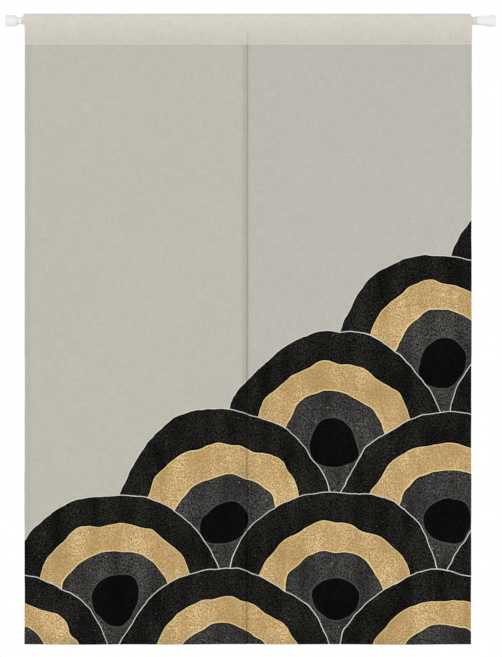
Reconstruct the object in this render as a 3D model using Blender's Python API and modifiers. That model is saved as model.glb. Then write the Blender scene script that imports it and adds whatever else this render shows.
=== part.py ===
"""A door curtain in two panels, hung from a telescopic tension rod.

Each panel is one sheet of cloth with its hems turned in. The panels hang side by side from a heading, a strip
that is folded over the rod and sewn to both of them. The rod is a thin tube that slides in a wider one, with a
soft pad on each end that is pressed against the door frame.

X runs along the rod, the front faces -Y and Z is up. The origin lies under the middle of the rod, level with the
lowest point of the cloth. Sizes are in metres.
"""

import math
from collections import namedtuple

import bpy
import bmesh

MM = 0.001
TOUCH_GAP = 0.3 * MM

# Curtain. At the slit the left panel laps over the right one, and towards the hem they part a little more.
CURTAIN_WIDTH = 850 * MM
CURTAIN_DROP = 1200 * MM
CURTAIN_MIDDLE = -4.3 * MM
SLIT_X = -8.0 * MM
SLIT_LAP = 2.0 * MM
LAP_GAP = 0.4 * MM
LAP_REACH = 30 * MM
LAP_GROWTH = 0.8
HEM_DRIFT = -1.2 * MM
SLIT_LIFT = 0.8 * MM
SLIT_LIFT_REACH = 150 * MM

# Cloth
CLOTH = 1.1 * MM
HEMMED_CLOTH = 1.8 * MM
SIDE_HEM = 10 * MM
SLIT_HEM = 7 * MM
BOTTOM_HEM = 11 * MM
HEM_STEP = 0.8 * MM
COLUMN_PITCH = 21 * MM
ROW_PITCH = 44 * MM

# Heading. Its two feet are turned under and sewn to the panels, and each end of its pocket is a mouth.
HEADING_DEPTH = 58.7 * MM
HEADING_CLOTH = 1.0 * MM
HEADING_HEMMED_CLOTH = 1.4 * MM
HEADING_HEM = 7 * MM
HEADING_TURN = 5 * MM
PANEL_TUCK = 22 * MM
RIDGE_RADIUS = 1.6 * MM
LEG_STEPS = 4
WRAP_STEPS = 7
RIDGE_STEPS = 3
MOUTH_REACH = 35 * MM
MOUTH_SLOPE = 12 * MM
MOUTH_BELOW_ROD = 11 * MM
MOUTH_END_SLOPE = 5 * MM
LONG_PITCH = 85 * MM
SLIT_PITCH = 15 * MM
SLIT_ZONE = 45 * MM

# Rod
ROD_LENGTH = 932.4 * MM
ROD_DEPTH = 13.2 * MM
OUTER_TUBE_RADIUS = 8.0 * MM
INNER_TUBE_RADIUS = 6.9 * MM
TUBE_WALL = 0.8 * MM
OUTER_TUBE_LENGTH = 600 * MM
INNER_TUBE_LENGTH = 640 * MM
SLEEVE_WALL = 0.7 * MM
TURNED_STEPS = 40

# Places worked out from the sizes
ROD_Z = CURTAIN_DROP - ROD_DEPTH
HEADING_FOOT_Z = CURTAIN_DROP - HEADING_DEPTH
TURN_TOP_Z = HEADING_FOOT_Z + HEADING_TURN
PANEL_TOP_Z = HEADING_FOOT_Z + PANEL_TUCK
CURTAIN_LEFT = CURTAIN_MIDDLE - CURTAIN_WIDTH / 2
CURTAIN_RIGHT = CURTAIN_MIDDLE + CURTAIN_WIDTH / 2
LAP_OFFSET = (HEMMED_CLOTH + LAP_GAP) / 2

# Soft folds of the hanging cloth. across is where a fold meets the hem and width is its half width. depth is how
# far it stands back or, where negative, forward. start is the height at which it fades out, and lean is how far
# its upper end lies to the right of its lower end.
Fold = namedtuple("Fold", "across width depth start lean")
FOLDS = [
    Fold(across=-0.425, width=0.055, depth=0.0055, start=1.00, lean=0.010),
    Fold(across=-0.335, width=0.062, depth=-0.0034, start=1.12, lean=-0.012),
    Fold(across=-0.232, width=0.058, depth=0.0040, start=0.62, lean=0.024),
    Fold(across=-0.128, width=0.070, depth=-0.0036, start=1.13, lean=-0.016),
    Fold(across=-0.030, width=0.048, depth=0.0022, start=0.80, lean=0.008),
    Fold(across=0.062, width=0.060, depth=-0.0026, start=1.13, lean=0.018),
    Fold(across=0.172, width=0.066, depth=0.0044, start=0.84, lean=-0.022),
    Fold(across=0.290, width=0.060, depth=-0.0032, start=1.12, lean=0.014),
    Fold(across=0.398, width=0.052, depth=0.0046, start=1.02, lean=-0.010),
]

# Ends of the heading: how far its top crease and the mouth of its pocket reach past the side of the curtain.
MouthEnd = namedtuple("MouthEnd", "ridge mouth")
LEFT_END = MouthEnd(ridge=1.6 * MM, mouth=7.6 * MM)
RIGHT_END = MouthEnd(ridge=-1.7 * MM, mouth=1.1 * MM)

# Pads on the rod. face and fattest are radii. rim is how far the rounding of the face's edge runs along the pad,
# the taper runs from taper_start to taper_end, and floor is where the socket for the tube ends.
Pad = namedtuple("Pad", "face fattest rim taper_start taper_end floor length")
LEFT_PAD = Pad(
    face=7.5 * MM,
    fattest=11.1 * MM,
    rim=3.0 * MM,
    taper_start=15.5 * MM,
    taper_end=24 * MM,
    floor=7 * MM,
    length=24 * MM,
)
RIGHT_PAD = Pad(
    face=8.0 * MM,
    fattest=11.8 * MM,
    rim=4.0 * MM,
    taper_start=5.0 * MM,
    taper_end=29 * MM,
    floor=8 * MM,
    length=36.5 * MM,
)


def smooth(value):
    """Rises gently from 0 to 1 as the value goes from 0 to 1."""
    clamped = min(max(value, 0.0), 1.0)
    return clamped * clamped * (3 - 2 * clamped)


def bell(distance, width):
    """1 at no distance, falling to nothing a few widths away."""
    return math.exp(-((distance / width) ** 2))


def shade(red, green, blue):
    """A linear colour from screen values of 0 to 255."""
    def linear(level):
        level = level / 255
        return level / 12.92 if level <= 0.04045 else ((level + 0.055) / 1.055) ** 2.4
    return (linear(red), linear(green), linear(blue), 1.0)


def make_material(name, colour, roughness):
    material = bpy.data.materials.new(name)
    material.use_nodes = True
    shader = material.node_tree.nodes["Principled BSDF"]
    shader.inputs["Base Color"].default_value = colour
    shader.inputs["Roughness"].default_value = roughness
    shader.inputs["Metallic"].default_value = 0.0
    return material


def add_object(collection, name, mesh, material):
    placed = bpy.data.objects.new(name, mesh)
    mesh.materials.append(material)
    collection.objects.link(placed)
    return placed


def spaced(start, end, pitch):
    """Evenly spaced values from start to end, both ends included, about one pitch apart."""
    count = max(1, round(abs(end - start) / pitch))
    return [start + (end - start) * step / count for step in range(count + 1)]


def grid_object(collection, name, material, columns, rows, place, hemmed, thin, thick):
    """A sheet on a grid of columns and rows: place gives each point, and hemmed says where it is thick."""
    sheet = bmesh.new()
    across = len(columns) - 1
    up = len(rows) - 1
    bmesh.ops.create_grid(sheet, x_segments=across, y_segments=up, size=1)
    hem_points = []
    for vertex in sheet.verts:
        column = columns[round((vertex.co.x + 1) / 2 * across)]
        row = rows[round((vertex.co.y + 1) / 2 * up)]
        vertex.co = place(column, row)
        if hemmed(column, row):
            hem_points.append(vertex.index)
    mesh = bpy.data.meshes.new(name)
    sheet.to_mesh(mesh)
    sheet.free()
    mesh.shade_smooth()
    placed = add_object(collection, name, mesh, material)
    hems = placed.vertex_groups.new(name="hems")
    hems.add(hem_points, 1.0, "REPLACE")
    solidify = placed.modifiers.new("Thickness", "SOLIDIFY")
    solidify.thickness = thick
    solidify.offset = 0
    solidify.vertex_group = "hems"
    solidify.thickness_vertex_group = thin / thick
    return placed


def turned_object(collection, name, material, profile, end_x, points_right):
    """A turned piece along the rod. Its profile gives (distance from the end face, radius), face first."""
    mesh = bpy.data.meshes.new(name)
    points = [(radius, 0, -distance) for distance, radius in profile]
    edges = [(index, index + 1) for index in range(len(points) - 1)]
    closed = profile[0][1] > 0
    if closed:
        edges.append((len(points) - 1, 0))
    mesh.from_pydata(points, edges, [])
    placed = add_object(collection, name, mesh, material)
    placed.location = (end_x, 0, ROD_Z)
    placed.rotation_euler = (0, math.pi / 2 if points_right else -math.pi / 2, 0)
    screw = placed.modifiers.new("Turn", "SCREW")
    screw.axis = "Z"
    screw.steps = TURNED_STEPS
    screw.render_steps = TURNED_STEPS
    screw.use_merge_vertices = True
    screw.merge_threshold = 0.01 * MM
    screw.use_smooth_shade = True
    return placed


def fall(z):
    """How far a point lies below the heading: 0 at its foot and above, 1 at the hem."""
    return min(max((HEADING_FOOT_Z - z) / HEADING_FOOT_Z, 0.0), 1.0)


def fold_depth(x, z):
    """How far the soft folds carry the cloth back at a place."""
    depth = 0.0
    for fold in FOLDS:
        middle = fold.across + fold.lean * z / HEADING_FOOT_Z
        strength = smooth((fold.start - z) / fold.start)
        depth += fold.depth * strength * bell(x - middle, fold.width)
    return depth


def lap_offset(x):
    """How far each panel steps out of the common plane where the panels lap over each other at the slit."""
    return LAP_OFFSET * bell(x - SLIT_X, LAP_REACH)


def panel_point(x, z, side):
    """Middle of the panel's cloth. side is -1 for the left panel, which laps in front, and 1 for the right one."""
    down = fall(z)
    lift = SLIT_LIFT * bell(x - SLIT_X, SLIT_LIFT_REACH)
    y = fold_depth(x, z) + side * lap_offset(x) * (1 + LAP_GROWTH * down)
    return (x + HEM_DRIFT * down, y, z + lift * down)


def make_panel(collection, name, material, left, right, left_hem, right_hem, side):
    columns = [left, left + left_hem]
    columns += spaced(left + left_hem + HEM_STEP, right - right_hem - HEM_STEP, COLUMN_PITCH)
    columns += [right - right_hem, right]
    rows = [0.0, BOTTOM_HEM]
    rows += spaced(BOTTOM_HEM + HEM_STEP, HEADING_FOOT_Z, ROW_PITCH)
    rows += [TURN_TOP_Z, PANEL_TOP_Z]

    def hemmed(x, z):
        return x <= columns[1] or x >= columns[-2] or z <= rows[1]

    def place(x, z):
        return panel_point(x, z, side)

    return grid_object(collection, name, material, columns, rows, place, hemmed, CLOTH, HEMMED_CLOTH)


def heading_section(x):
    """Front half of the folded heading, as (y, z) from the foot up to the ridge, through the cloth's middle.

    The foot stands straight on the panels. The leg runs from it to the rod and touches the rod's round there, the
    cloth wraps the rod's side, and a straight gable leads up to the pressed crease.
    """
    half_cloth = HEADING_HEMMED_CLOTH / 2
    foot_y = lap_offset(x) + HEMMED_CLOTH / 2 + TOUCH_GAP + half_cloth
    wrap_radius = OUTER_TUBE_RADIUS + TOUCH_GAP + half_cloth
    ridge_z = CURTAIN_DROP - half_cloth - RIDGE_RADIUS
    leg_foot_z = TURN_TOP_Z + HEM_STEP
    foot_below_rod = ROD_Z - leg_foot_z
    gable_angle = math.asin((wrap_radius - RIDGE_RADIUS) / (ridge_z - ROD_Z))
    leg_angle = math.acos(wrap_radius / math.hypot(foot_y, foot_below_rod)) - math.atan2(foot_below_rod, foot_y)
    leg_top_y = wrap_radius * math.cos(leg_angle)
    leg_top_z = ROD_Z + wrap_radius * math.sin(leg_angle)
    section = [(foot_y, HEADING_FOOT_Z), (foot_y, TURN_TOP_Z)]
    for step in range(LEG_STEPS):
        share = step / LEG_STEPS
        section.append((foot_y + (leg_top_y - foot_y) * share, leg_foot_z + (leg_top_z - leg_foot_z) * share))
    for step in range(WRAP_STEPS + 1):
        angle = leg_angle + (gable_angle - leg_angle) * step / WRAP_STEPS
        section.append((wrap_radius * math.cos(angle), ROD_Z + wrap_radius * math.sin(angle)))
    for step in range(RIDGE_STEPS + 1):
        angle = gable_angle + (math.pi / 2 - gable_angle) * step / RIDGE_STEPS
        section.append((RIDGE_RADIUS * math.cos(angle), ridge_z + RIDGE_RADIUS * math.sin(angle)))
    return section


def mouth_shift(z, end):
    """How far the end of the heading reaches out at a height: most at the rod, and nothing below it."""
    spread = end.ridge + (end.mouth - end.ridge) * smooth((CURTAIN_DROP - z) / MOUTH_SLOPE)
    return spread * smooth((z - (ROD_Z - MOUTH_BELOW_ROD)) / MOUTH_END_SLOPE)


def make_heading(collection, material):
    left_hem = [CURTAIN_LEFT, CURTAIN_LEFT + HEADING_HEM]
    right_hem = [CURTAIN_RIGHT - HEADING_HEM, CURTAIN_RIGHT]
    columns = left_hem + [left_hem[1] + HEM_STEP]
    columns += spaced(CURTAIN_LEFT + MOUTH_REACH / 2, SLIT_X - SLIT_ZONE - SLIT_PITCH, LONG_PITCH)
    columns += spaced(SLIT_X - SLIT_ZONE, SLIT_X + SLIT_ZONE, SLIT_PITCH)
    columns += spaced(SLIT_X + SLIT_ZONE + SLIT_PITCH, CURTAIN_RIGHT - MOUTH_REACH / 2, LONG_PITCH)
    columns += [right_hem[0] - HEM_STEP] + right_hem
    half_count = len(heading_section(SLIT_X))
    rows = list(range(2 * half_count - 1))

    def hemmed(x, row):
        return x <= left_hem[1] or x >= right_hem[0] or row <= 1 or row >= rows[-2]

    def place(x, row):
        front = row < half_count
        y, z = heading_section(x)[row if front else rows[-1] - row]
        from_left = 1 - smooth((x - CURTAIN_LEFT) / MOUTH_REACH)
        from_right = 1 - smooth((CURTAIN_RIGHT - x) / MOUTH_REACH)
        shift = mouth_shift(z, RIGHT_END) * from_right - mouth_shift(z, LEFT_END) * from_left
        return (x + shift, -y if front else y, z)

    return grid_object(
        collection, "heading", material, columns, rows, place, hemmed, HEADING_CLOTH, HEADING_HEMMED_CLOTH
    )


def pad_profile(pad, tube_radius):
    """Outline of a pad from the middle of its face, round the rim and taper, and back up its socket."""
    socket = tube_radius + TOUCH_GAP
    sleeve = socket + SLEEVE_WALL
    profile = [(0.0, 0.0), (0.0, pad.face)]
    for step in range(1, 6):
        angle = math.pi / 2 * step / 5
        profile.append((pad.rim * (1 - math.cos(angle)), pad.face + (pad.fattest - pad.face) * math.sin(angle)))
    for step in range(9):
        share = step / 8
        distance = pad.taper_start + (pad.taper_end - pad.taper_start) * share
        profile.append((distance, sleeve + (pad.fattest - sleeve) * (1 - smooth(share))))
    if pad.length > pad.taper_end:
        profile.append((pad.length, sleeve))
    profile += [(pad.length, socket), (pad.floor, socket), (pad.floor, 0.0)]
    return profile


def tube_profile(radius, start, length):
    """A tube's wall as a closed loop, down its outside and back up its bore."""
    bore = radius - TUBE_WALL
    return [(start, radius), (start + length, radius), (start + length, bore), (start, bore)]


def make_rod(collection, tube_material, pad_material):
    left_x = -ROD_LENGTH / 2
    right_x = ROD_LENGTH / 2
    turned_object(collection, "rod_pad_left", pad_material, pad_profile(LEFT_PAD, INNER_TUBE_RADIUS), left_x, False)
    turned_object(collection, "rod_pad_right", pad_material, pad_profile(RIGHT_PAD, OUTER_TUBE_RADIUS), right_x, True)
    inner_wall = tube_profile(INNER_TUBE_RADIUS, LEFT_PAD.floor + TOUCH_GAP, INNER_TUBE_LENGTH)
    outer_wall = tube_profile(OUTER_TUBE_RADIUS, RIGHT_PAD.floor + TOUCH_GAP, OUTER_TUBE_LENGTH)
    turned_object(collection, "rod_inner_tube", tube_material, inner_wall, left_x, False)
    turned_object(collection, "rod_outer_tube", tube_material, outer_wall, right_x, True)


def clear_scene():
    for existing in list(bpy.data.objects):
        bpy.data.objects.remove(existing, do_unlink=True)


def main():
    clear_scene()
    collection = bpy.data.collections.new("door_curtain")
    bpy.context.scene.collection.children.link(collection)
    panel_cloth = make_material("panel_cloth", shade(190, 188, 177), 0.9)
    heading_cloth = make_material("heading_cloth", shade(207, 203, 193), 0.9)
    tube_finish = make_material("rod_tube", shade(236, 237, 236), 0.35)
    pad_finish = make_material("rod_pad", shade(240, 241, 240), 0.45)
    make_panel(
        collection, "panel_left", panel_cloth, CURTAIN_LEFT, SLIT_X + SLIT_LAP / 2, SIDE_HEM, SLIT_HEM, -1
    )
    make_panel(
        collection, "panel_right", panel_cloth, SLIT_X - SLIT_LAP / 2, CURTAIN_RIGHT, SLIT_HEM, SIDE_HEM, 1
    )
    make_heading(collection, heading_cloth)
    make_rod(collection, tube_finish, pad_finish)


main()
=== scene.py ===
"""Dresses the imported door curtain: fine cloth with hems and sewing, a printed pattern, the rod's finish, and
a studio with a camera.

X runs along the rod, the front faces -Y and Z is up, in metres. Each sheet of cloth is a closed mesh on the
folds of the solid that it replaces. Its map "cloth" holds the place on the flat cloth in metres. Its map
"hems" holds the distances in metres past the inner lines of the nearest side hem and of the lower hem, which
are below 0 on the hem.
"""

import math
from collections import namedtuple

import bpy
import numpy as np
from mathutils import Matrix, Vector


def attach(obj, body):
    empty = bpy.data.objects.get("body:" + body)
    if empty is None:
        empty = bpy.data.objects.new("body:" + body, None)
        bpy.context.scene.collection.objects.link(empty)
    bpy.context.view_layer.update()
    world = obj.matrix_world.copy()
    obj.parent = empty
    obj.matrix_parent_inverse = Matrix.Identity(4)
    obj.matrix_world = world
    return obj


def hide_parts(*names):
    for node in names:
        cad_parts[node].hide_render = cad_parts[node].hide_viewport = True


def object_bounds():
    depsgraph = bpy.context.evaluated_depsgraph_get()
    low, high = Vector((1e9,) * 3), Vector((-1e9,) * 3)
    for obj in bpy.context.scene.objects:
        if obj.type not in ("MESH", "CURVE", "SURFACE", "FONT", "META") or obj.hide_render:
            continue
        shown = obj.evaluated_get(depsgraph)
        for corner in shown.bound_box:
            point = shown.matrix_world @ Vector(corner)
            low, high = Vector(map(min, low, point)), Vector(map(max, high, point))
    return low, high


MM = 0.001
TOUCH_GAP = 0.3 * MM

# Curtain, as the solids have it. Each panel steps out by LAP_OFFSET at the slit, and by the share LAP_GROWTH
# more at the hem. The hem hangs HEM_DRIFT aside, and SLIT_LIFT higher at the slit.
CURTAIN_WIDTH = 850 * MM
CURTAIN_DROP = 1200 * MM
CURTAIN_MIDDLE = -4.3 * MM
SLIT_X = -8.0 * MM
SLIT_LAP = 2.0 * MM
LAP_OFFSET = 1.1 * MM
LAP_REACH = 30 * MM
LAP_GROWTH = 0.8
HEM_DRIFT = -1.2 * MM
SLIT_LIFT = 0.8 * MM
SLIT_LIFT_REACH = 150 * MM
SIDE_HEM = 10 * MM
SLIT_HEM = 7 * MM
BOTTOM_HEM = 11 * MM
CURTAIN_LEFT = CURTAIN_MIDDLE - CURTAIN_WIDTH / 2
CURTAIN_RIGHT = CURTAIN_MIDDLE + CURTAIN_WIDTH / 2

# Heading, as the solids have it
HEADING_DEPTH = 58.7 * MM
HEADING_HEM = 7 * MM
HEADING_TURN = 5 * MM
PANEL_TUCK = 22 * MM
SOLID_HEADING_HEM = 1.4 * MM
LEG_STAND = 0.8 * MM
RIDGE_RADIUS = 1.6 * MM
MOUTH_REACH = 35 * MM
MOUTH_SLOPE = 12 * MM
HEADING_FOOT_Z = CURTAIN_DROP - HEADING_DEPTH
TURN_TOP_Z = HEADING_FOOT_Z + HEADING_TURN
PANEL_TOP_Z = HEADING_FOOT_Z + PANEL_TUCK

# Rod, as the solids have it
ROD_DEPTH = 13.2 * MM
OUTER_TUBE_RADIUS = 8.0 * MM
INNER_TUBE_RADIUS = 6.9 * MM
TUBE_WALL = 0.8 * MM
OUTER_TUBE_LENGTH = 600 * MM
INNER_TUBE_LENGTH = 640 * MM
SLEEVE_WALL = 0.7 * MM
ROD_Z = CURTAIN_DROP - ROD_DEPTH

# Cloth seen close. Its front stands FRONT_STAND before the middle of the solid. Its hems are folded, so they
# are thick, and their round edges start at EDGE_LEAST of the thickness. The heading's feet stand FOOT_GAP
# off the hems of the panels, and step back over LAP_STEP past the edge of the lap.
FRONT_STAND = 0.7 * MM
CLOTH = 0.45 * MM
FOLDED_CLOTH = 1.0 * MM
HEM_STEP = 0.5 * MM
EDGE_ROUND = 0.5 * MM
FOOT_ROUND = 1.2 * MM
EDGE_LEAST = 0.3
FOOT_GAP = 0.15 * MM
FRONT_FOOT_STAND = FRONT_STAND + FOOT_GAP + FOLDED_CLOTH
BACK_FOOT_STAND = FOLDED_CLOTH - FRONT_STAND + FOOT_GAP + FOLDED_CLOTH
LAP_STEP = 4.0 * MM
LEG_BULGE = 0.8 * MM
GABLE_BULGE = 0.9 * MM

# Fineness of the meshes. The lines on a round edge lie at these shares of its width.
EDGE_LINES = (0.0, 0.1, 0.4)
FOOT_LINES = (0.0, 0.1, 0.3, 0.6)
HEM_PITCH = 1.3 * MM
PANEL_PITCH = 4.0 * MM
HEADING_PITCH = 3.6 * MM
LAP_PITCH = 0.8 * MM
LEG_STEPS = 20
WRAP_STEPS = 10
GABLE_STEPS = 6
RIDGE_STEPS = 6
RIM_STEPS = 14
TAPER_STEPS = 24
TURNED_STEPS = 96

# Sewing. A stitch bends at four places: along is a share of its length, and stand is how many radii of the
# thread it lies above the cloth or, where negative, in it.
Bend = namedtuple("Bend", "along stand")
STITCH = [Bend(0.0, -0.6), Bend(0.22, 0.75), Bend(0.78, 0.75), Bend(1.0, -0.6)]
STITCH_PITCH = 3.0 * MM
STITCH_SHARE = 0.84
THREAD_RADIUS = 0.15 * MM
SEAM_STEP = STITCH_PITCH / 4
SEAM_INSET = 1.4 * MM
FOOT_SEAM = 2.6 * MM
SEAM_GROOVE = 0.12 * MM
FOOT_GROOVE = 0.34 * MM
GROOVE_WIDTH = 1.1 * MM
PUCKER_REACH = 9 * MM

# Soft folds of the hanging cloth, as the solids have them. across is where a fold meets the hem and width is
# its half width. depth is how far it stands back or, where negative, forward. start is the height at which
# it fades out, and lean is how far its upper end lies to the right of its lower end.
Fold = namedtuple("Fold", "across width depth start lean")
FOLDS = [
    Fold(across=-0.425, width=0.055, depth=0.0055, start=1.00, lean=0.010),
    Fold(across=-0.335, width=0.062, depth=-0.0034, start=1.12, lean=-0.012),
    Fold(across=-0.232, width=0.058, depth=0.0040, start=0.62, lean=0.024),
    Fold(across=-0.128, width=0.070, depth=-0.0036, start=1.13, lean=-0.016),
    Fold(across=-0.030, width=0.048, depth=0.0022, start=0.80, lean=0.008),
    Fold(across=0.062, width=0.060, depth=-0.0026, start=1.13, lean=0.018),
    Fold(across=0.172, width=0.066, depth=0.0044, start=0.84, lean=-0.022),
    Fold(across=0.290, width=0.060, depth=-0.0032, start=1.12, lean=0.014),
    Fold(across=0.398, width=0.052, depth=0.0046, start=1.02, lean=-0.010),
]

# Small waves: each has a length and a height, and the cloth adds them up.
Wave = namedtuple("Wave", "length height")
PUCKERS = [Wave(10.7 * MM, 0.05 * MM), Wave(17.3 * MM, 0.06 * MM), Wave(31.9 * MM, 0.07 * MM)]
EDGE_WAVES = [Wave(61 * MM, 0.10 * MM), Wave(143 * MM, 0.16 * MM), Wave(390 * MM, 0.20 * MM)]

# side is -1 for the left panel, which laps in front at the slit, and 1 for the right one.
Panel = namedtuple("Panel", "node left right left_hem right_hem side")
PANELS = [
    Panel("panel_left", CURTAIN_LEFT, SLIT_X + SLIT_LAP / 2, SIDE_HEM, SLIT_HEM, -1),
    Panel("panel_right", SLIT_X - SLIT_LAP / 2, CURTAIN_RIGHT, SLIT_HEM, SIDE_HEM, 1),
]

# Ends of the heading: how far its top crease and the mouth of its pocket reach past the side of the curtain.
# The mouth turns back to the side a little below the rod, in a shorter curve than the solid's.
MouthEnd = namedtuple("MouthEnd", "ridge mouth")
LEFT_END = MouthEnd(ridge=1.6 * MM, mouth=6.4 * MM)
RIGHT_END = MouthEnd(ridge=-1.7 * MM, mouth=1.1 * MM)
MOUTH_BELOW_ROD = 8.8 * MM
MOUTH_END_SLOPE = 3.2 * MM

# Pads on the rod. face and fattest are radii. rim is how far the rounding of the face's edge runs along the
# pad, the taper runs from taper_start to taper_end, and floor is where the socket for the tube ends. Each
# taper is a little shorter and rounder than the solid's.
Pad = namedtuple("Pad", "face fattest rim taper_start taper_end floor length")
LEFT_PAD = Pad(
    face=7.5 * MM,
    fattest=11.1 * MM,
    rim=3.0 * MM,
    taper_start=17.5 * MM,
    taper_end=24 * MM,
    floor=7 * MM,
    length=24 * MM,
)
RIGHT_PAD = Pad(
    face=8.0 * MM,
    fattest=11.8 * MM,
    rim=4.0 * MM,
    taper_start=7.0 * MM,
    taper_end=26 * MM,
    floor=8 * MM,
    length=36.5 * MM,
)

# Finer than the solids: the eased edges of the tubes, a ring on each pad's face at this share of its radius,
# and a sleeve that fits its tube to SOCKET_GAP and thins out over SLEEVE_END to LIP_WALL. Points closer than
# MERGE_REACH on a turned piece are joined.
TUBE_EDGE = 0.25 * MM
FACE_RING = 0.5
SOCKET_GAP = 0.05 * MM
SLEEVE_END = 4.5 * MM
LIP_WALL = SLEEVE_WALL / 5
MERGE_REACH = 0.01 * MM

# Printed waves: rows of overlapping round scales, heaped up towards the right. Each scale is a set of rings.
WAVE_RADIUS = 210 * MM
WAVE_ROW = 150 * MM
WAVE_ROWS = 6
LOWEST_WAVE_Z = -66 * MM
FIRST_WAVE_X = -470 * MM

# The rings look drawn by hand. Each wobble pushes them about by a noise with scale cells to the metre, and
# reach is its whole range. Inner rings also wander, which fades out over these shares of the radius.
Wobble = namedtuple("Wobble", "scale reach")
WOBBLES = [Wobble(5.0, 42 * MM), Wobble(19.0, 11 * MM), Wobble(52.0, 3.5 * MM)]
WANDER = Wobble(13.0, 30 * MM)
WANDER_FADE = (0.8, 0.95)

# Rings of a scale, from the middle out. outer is a share of the scale's radius, dark and light are the ends
# of the ink's grain as screen values, and glint is how strongly its bright points show.
Ring = namedtuple("Ring", "outer dark light glint")
RINGS = [
    Ring(outer=0.205, dark=(3, 3, 3), light=(20, 20, 20), glint=0.0),
    Ring(outer=0.215, dark=(64, 63, 60), light=(92, 91, 86), glint=0.0),
    Ring(outer=0.450, dark=(22, 22, 21), light=(101, 99, 96), glint=1.0),
    Ring(outer=0.460, dark=(3, 3, 3), light=(14, 14, 14), glint=0.0),
    Ring(outer=0.469, dark=(222, 203, 146), light=(232, 214, 160), glint=0.0),
    Ring(outer=0.712, dark=(169, 136, 82), light=(247, 216, 165), glint=0.0),
    Ring(outer=0.721, dark=(222, 203, 146), light=(232, 214, 160), glint=0.0),
    Ring(outer=0.731, dark=(3, 3, 3), light=(14, 14, 14), glint=0.0),
    Ring(outer=0.982, dark=(1, 1, 1), light=(56, 55, 51), glint=0.25),
    Ring(outer=0.991, dark=(1, 1, 1), light=(8, 8, 8), glint=0.0),
    Ring(outer=1.000, dark=(216, 214, 202), light=(224, 222, 210), glint=0.0),
]

# Unevenness of the ink. A noise has scale cells to the metre across the cloth, and upright is the share of
# that up the cloth. Its values from low to high are stretched to run from least to most.
InkNoise = namedtuple("InkNoise", "scale upright detail distortion low high least most")
INK_GRAIN = InkNoise(430.0, 0.8, detail=1.0, distortion=0.6, low=0.40, high=0.66, least=0.0, most=1.0)
INK_PATCHES = InkNoise(26.0, 0.35, detail=3.0, distortion=0.0, low=0.34, high=0.68, least=0.35, most=1.15)

# Bright points in the ink: cells to the metre, a point's radius in cells, and the share of cells without one
GLINT_CELLS = 95.0
GLINT_RADIUS = 0.11
GLINT_NONE = 0.72

# Colours, as screen values
PANEL_COLOUR = (193, 191, 180)
RIGHT_PANEL_COLOUR = (191, 188, 179)
HEADING_COLOUR = (212, 208, 198)
BACK_COLOUR = (203, 200, 190)
GLINT_COLOUR = (150, 148, 141)
FLOOR_COLOUR = (233, 233, 231)

# Most values of a noise lie in this range, and those of two noises added up in the next.
ONE_NOISE = (0.3, 0.7)
TWO_NOISES = (0.7, 1.3)

# Weave. Slubs are thick places in the upright and in the level yarns, each with this many cells to the metre
# across and up the cloth.
YARN_PITCH = 0.9 * MM
WEAVE_CONTRAST = 0.10
UPRIGHT_SLUBS = (700.0, 55.0, 1.0)
LEVEL_SLUBS = (40.0, 700.0, 1.0)
SLUB_CONTRAST = 0.08
WEAVE_RELIEF = 0.10 * MM
CLOTH_ROUGHNESS = 0.92
INK_ROUGHNESS = 0.78
PRINT_THROUGH = 0.16
CLOTH_SHINE = {"Sheen_Weight": 0.0, "Specular_IOR_Level": 0.03}

# Slow drift of the cloth's tone: two noises, in cells to the metre, and how far they move it
BROAD_DRIFT = 3.1
NARROW_DRIFT = 14.0
PANEL_DRIFT = 0.012
HEADING_DRIFT = 0.014

# Bands of tone painted on the cloth. Each runs evenly from its first tone at start to its last tone at end.
Band = namedtuple("Band", "start end first last")

# Painted shade on a panel's side hems, which let less light through than single cloth, darker on the left
# as the light falls: how much darker they are, away from the slit and at it. They fade out over HEM_FADE.
HemDepth = namedtuple("HemDepth", "outer slit")
LEFT_HEM_SHADE = HemDepth(outer=0.045, slit=0.085)
RIGHT_HEM_SHADE = HemDepth(outer=0.018, slit=0.01)
HEM_FADE = Band(0.0, 2.4 * MM, 1.0, 0.0)

# Other painted shade on the panels: shadow beside the left panel's slit hem and on both sides of the edge
# of the lap, shade on the lower hem, which lets less light through, and darker down towards it
SHADOW_BESIDE_SLIT = Band(0.0, 8 * MM, 0.022, 0.0)
SHADOW_BY_LAP_EDGE = Band(0.0, 7 * MM, 0.035, 0.0)
BOTTOM_HEM_SHADE = 0.035
SINKING = Band(14 * MM, -6 * MM, 0.0, 0.08)

# What shows of the lap through the heading, as painted light and shade: a painted highlight on its ridge,
# and painted shade at its joint
LAP_RIDGE_X = SLIT_X - 2.6 * MM
LAP_RIDGE_HIGHLIGHT = Band(1.0 * MM, 3.0 * MM, 0.035, 0.0)
LAP_JOINT_X = SLIT_X + 2.0 * MM
LAP_JOINT_SHADE = Band(0.4 * MM, 4.4 * MM, 0.085, 0.0)

# Painted light and shade up the heading: shade at its foot and light at its top over the whole of it,
# painted shade on the turn over its seam, where the painted highlight on its foot starts, where that is
# lightest, then painted light on the cloth round the rod and painted shade on the crease
HEADING_LIGHT_AND_SHADE = [
    Band(HEADING_FOOT_Z, CURTAIN_DROP, -0.085, 0.08),
    Band(HEADING_FOOT_Z + 4 * MM, HEADING_FOOT_Z + 8 * MM, -0.015, 0.0),
    Band(HEADING_FOOT_Z + 2.4 * MM, HEADING_FOOT_Z + 3.4 * MM, 0.075, 0.0),
    Band(HEADING_FOOT_Z + 0.6 * MM, HEADING_FOOT_Z + 1.4 * MM, 0.16, 0.0),
    Band(CURTAIN_DROP - 14 * MM, CURTAIN_DROP - 7 * MM, 0.0, 0.06),
    Band(CURTAIN_DROP - 1.6 * MM, CURTAIN_DROP - 0.4 * MM, 0.0, -0.07),
]

# Thread, whose twist has this many cells to the metre
TWIST_CELLS = 2600.0
TWIST_TONES = (0.92, 1.06)
THREAD_ROUGHNESS = 0.6
THREAD_SHINE = 0.35

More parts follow.
